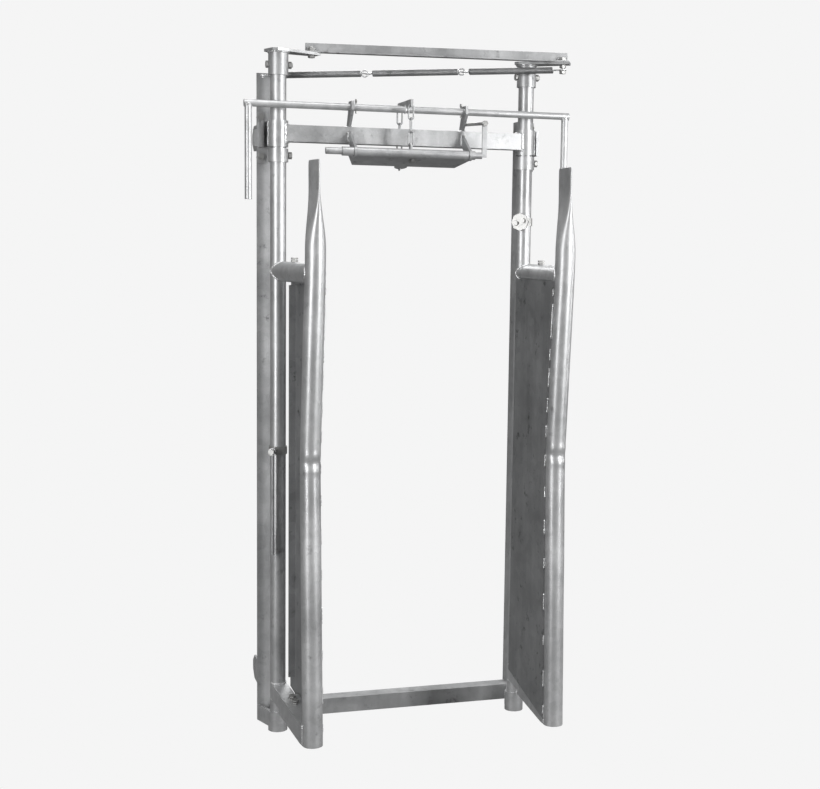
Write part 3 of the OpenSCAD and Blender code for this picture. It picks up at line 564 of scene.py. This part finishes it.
def smooth_path(points, steps):
    """Catmull-Rom curve through the points."""
    out = []
    padded = [points[0] * 2 - points[1]] + list(points) + [points[-1] * 2 - points[-2]]
    for p0, p1, p2, p3 in zip(padded, padded[1:], padded[2:], padded[3:]):
        for k in range(steps):
            t = k / steps
            out.append(0.5 * (2 * p1 + (p2 - p0) * t + (2 * p0 - 5 * p1 + 4 * p2 - p3) * t * t
                              + (3 * p1 - p0 - 3 * p2 + p3) * t ** 3))
    return out + [points[-1]]


# ---- chains ----
def chain(name, node, body, count, squash_joint=None):
    """Oval links of round wire, each turned a quarter from the one above."""
    low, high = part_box(node)
    x, y = (low.x + high.x) / 2, (low.y + high.y) / 2
    wire = CHAIN_WIRE
    pitch = (high.z - low.z - 2 * wire) / count
    bm = bmesh.new()
    for i in range(count):
        centre = Vector((x, y, high.z - wire - pitch * (i + 0.5)))
        across = Vector((1, 0, 0)) if i % 2 == 0 else Vector((0, 1, 0))
        half = pitch / 2 + wire / 2 - CHAIN_HALF_WIDTH
        path = []
        for end in (1, -1):
            for k in range(13):
                a = math.pi * k / 12
                path.append(centre + across * (math.cos(a) * CHAIN_HALF_WIDTH * end)
                            + Vector((0, 0, 1)) * (end * half + math.sin(a) * CHAIN_HALF_WIDTH * end))
        sweep(bm, path, wire / 2 * 0.97, sides=10, closed=True)
    obj = make_piece(name, bm, "chain_zinc", body, nodes=(node,))
    if squash_joint:
        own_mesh(obj)


# ---- stage ----
BACKDROP = (0.913, 0.913, 0.913)


def stage():
    """A floor that the camera sees as pale as the background, and that is dark to all other rays."""
    mat, tree, bsdf = new_material("floor")
    bsdf.inputs["Base Color"].default_value = (0.16, 0.16, 0.16, 1)
    bsdf.inputs["Roughness"].default_value = 1.0
    pale = add_node(tree, "ShaderNodeEmission", Color=(*BACKDROP, 1), Strength=1.0)
    path = tree.nodes.new("ShaderNodeLightPath")
    choose = tree.nodes.new("ShaderNodeMixShader")
    tree.links.new(path.outputs["Is Camera Ray"], choose.inputs["Fac"])
    tree.links.new(bsdf.outputs["BSDF"], choose.inputs[1])
    tree.links.new(pale.outputs["Emission"], choose.inputs[2])
    tree.links.new(choose.outputs["Shader"], tree.nodes["Material Output"].inputs["Surface"])
    bpy.ops.mesh.primitive_plane_add(size=60, location=(0, 0, 0))
    floor = bpy.context.object
    floor.name = "floor"
    floor.data.materials.append(mat)
    studio()


def studio():
    """A pale studio behind the object, dimmer where it only lights and reflects."""
    world = bpy.data.worlds.new("studio")
    world.use_nodes = True
    tree = world.node_tree
    tree.nodes.clear()
    seen = add_node(tree, "ShaderNodeBackground", Color=(*BACKDROP, 1), Strength=1.0)
    room = add_node(tree, "ShaderNodeBackground", Strength=0.5)
    direction = tree.nodes.new("ShaderNodeTexCoord").outputs["Generated"]
    split = tree.nodes.new("ShaderNodeSeparateXYZ")
    tree.links.new(direction, split.inputs["Vector"])
    tree.links.new(ramp(tree, split.outputs["Z"], [(0.0, 0.12), (0.12, 0.25), (0.5, 0.75), (1.0, 1.0)]),
                   room.inputs["Color"])
    path = tree.nodes.new("ShaderNodeLightPath")
    choose = tree.nodes.new("ShaderNodeMixShader")
    tree.links.new(path.outputs["Is Camera Ray"], choose.inputs["Fac"])
    tree.links.new(room.outputs["Background"], choose.inputs[1])
    tree.links.new(seen.outputs["Background"], choose.inputs[2])
    out = tree.nodes.new("ShaderNodeOutputWorld")
    tree.links.new(choose.outputs["Shader"], out.inputs["Surface"])
    bpy.context.scene.world = world


def area_light(name, place, target, size, power):
    data = bpy.data.lights.new(name, "AREA")
    data.shape = "RECTANGLE"
    data.size, data.size_y = size
    data.energy = power
    light = bpy.data.objects.new(name, data)
    bpy.context.collection.objects.link(light)
    light.location = place
    light.rotation_euler = (Vector(target) - Vector(place)).to_track_quat("-Z", "Y").to_euler()


def lights():
    """Tall soft lights, so that each pipe carries one long highlight."""
    area_light("key", (2.6, -3.3, 2.1), (0, 0, 1.05), (0.8, 3.0), 150)
    area_light("fill", (-3.4, -2.7, 1.7), (0, 0, 1.0), (0.7, 2.8), 105)
    area_light("rim", (3.0, -0.6, 1.9), (0, 0, 1.0), (0.5, 2.6), 30)
    area_light("back", (0.3, 3.0, 3.4), (0, 0, 1.4), (2.2, 1.0), 55)
    area_light("top", (-0.2, -1.2, 4.6), (0, 0, 1.2), (1.6, 1.6), 45)


def camera():
    """The photograph's viewpoint."""
    data = bpy.data.cameras.new("camera")
    data.lens = 61.46
    data.sensor_width = 36
    data.shift_x = -0.057
    data.shift_y = 0.012
    data.clip_end = 100
    cam = bpy.data.objects.new("camera", data)
    bpy.context.collection.objects.link(cam)
    yaw, pitch, roll = (math.radians(a) for a in (17.09, 6.57, 0.88))
    aim = Matrix.Rotation(-yaw, 4, "Z") @ Matrix.Rotation(math.pi / 2 - pitch, 4, "X")
    cam.matrix_world = Matrix.Translation((-1.128, -4.258, 1.537)) @ aim @ Matrix.Rotation(roll, 4, "Z")
    bpy.context.scene.camera = cam


camera()
stage()
lights()
paint_cad()
for leaf in ("left", "right"):
    neck_pipe(leaf)
    neck_welds(leaf)
    leaf_welds(leaf)
frame_welds()
shaft_welds()
spring_line()
chain("rear_chain_links", "rear_chain", "rear_chain_hang", 4)
chain("front_chain_links", "front_chain", "front_chain_hang", 3, "front_chain_swing")

bpy.context.scene.view_settings.view_transform = "Standard"
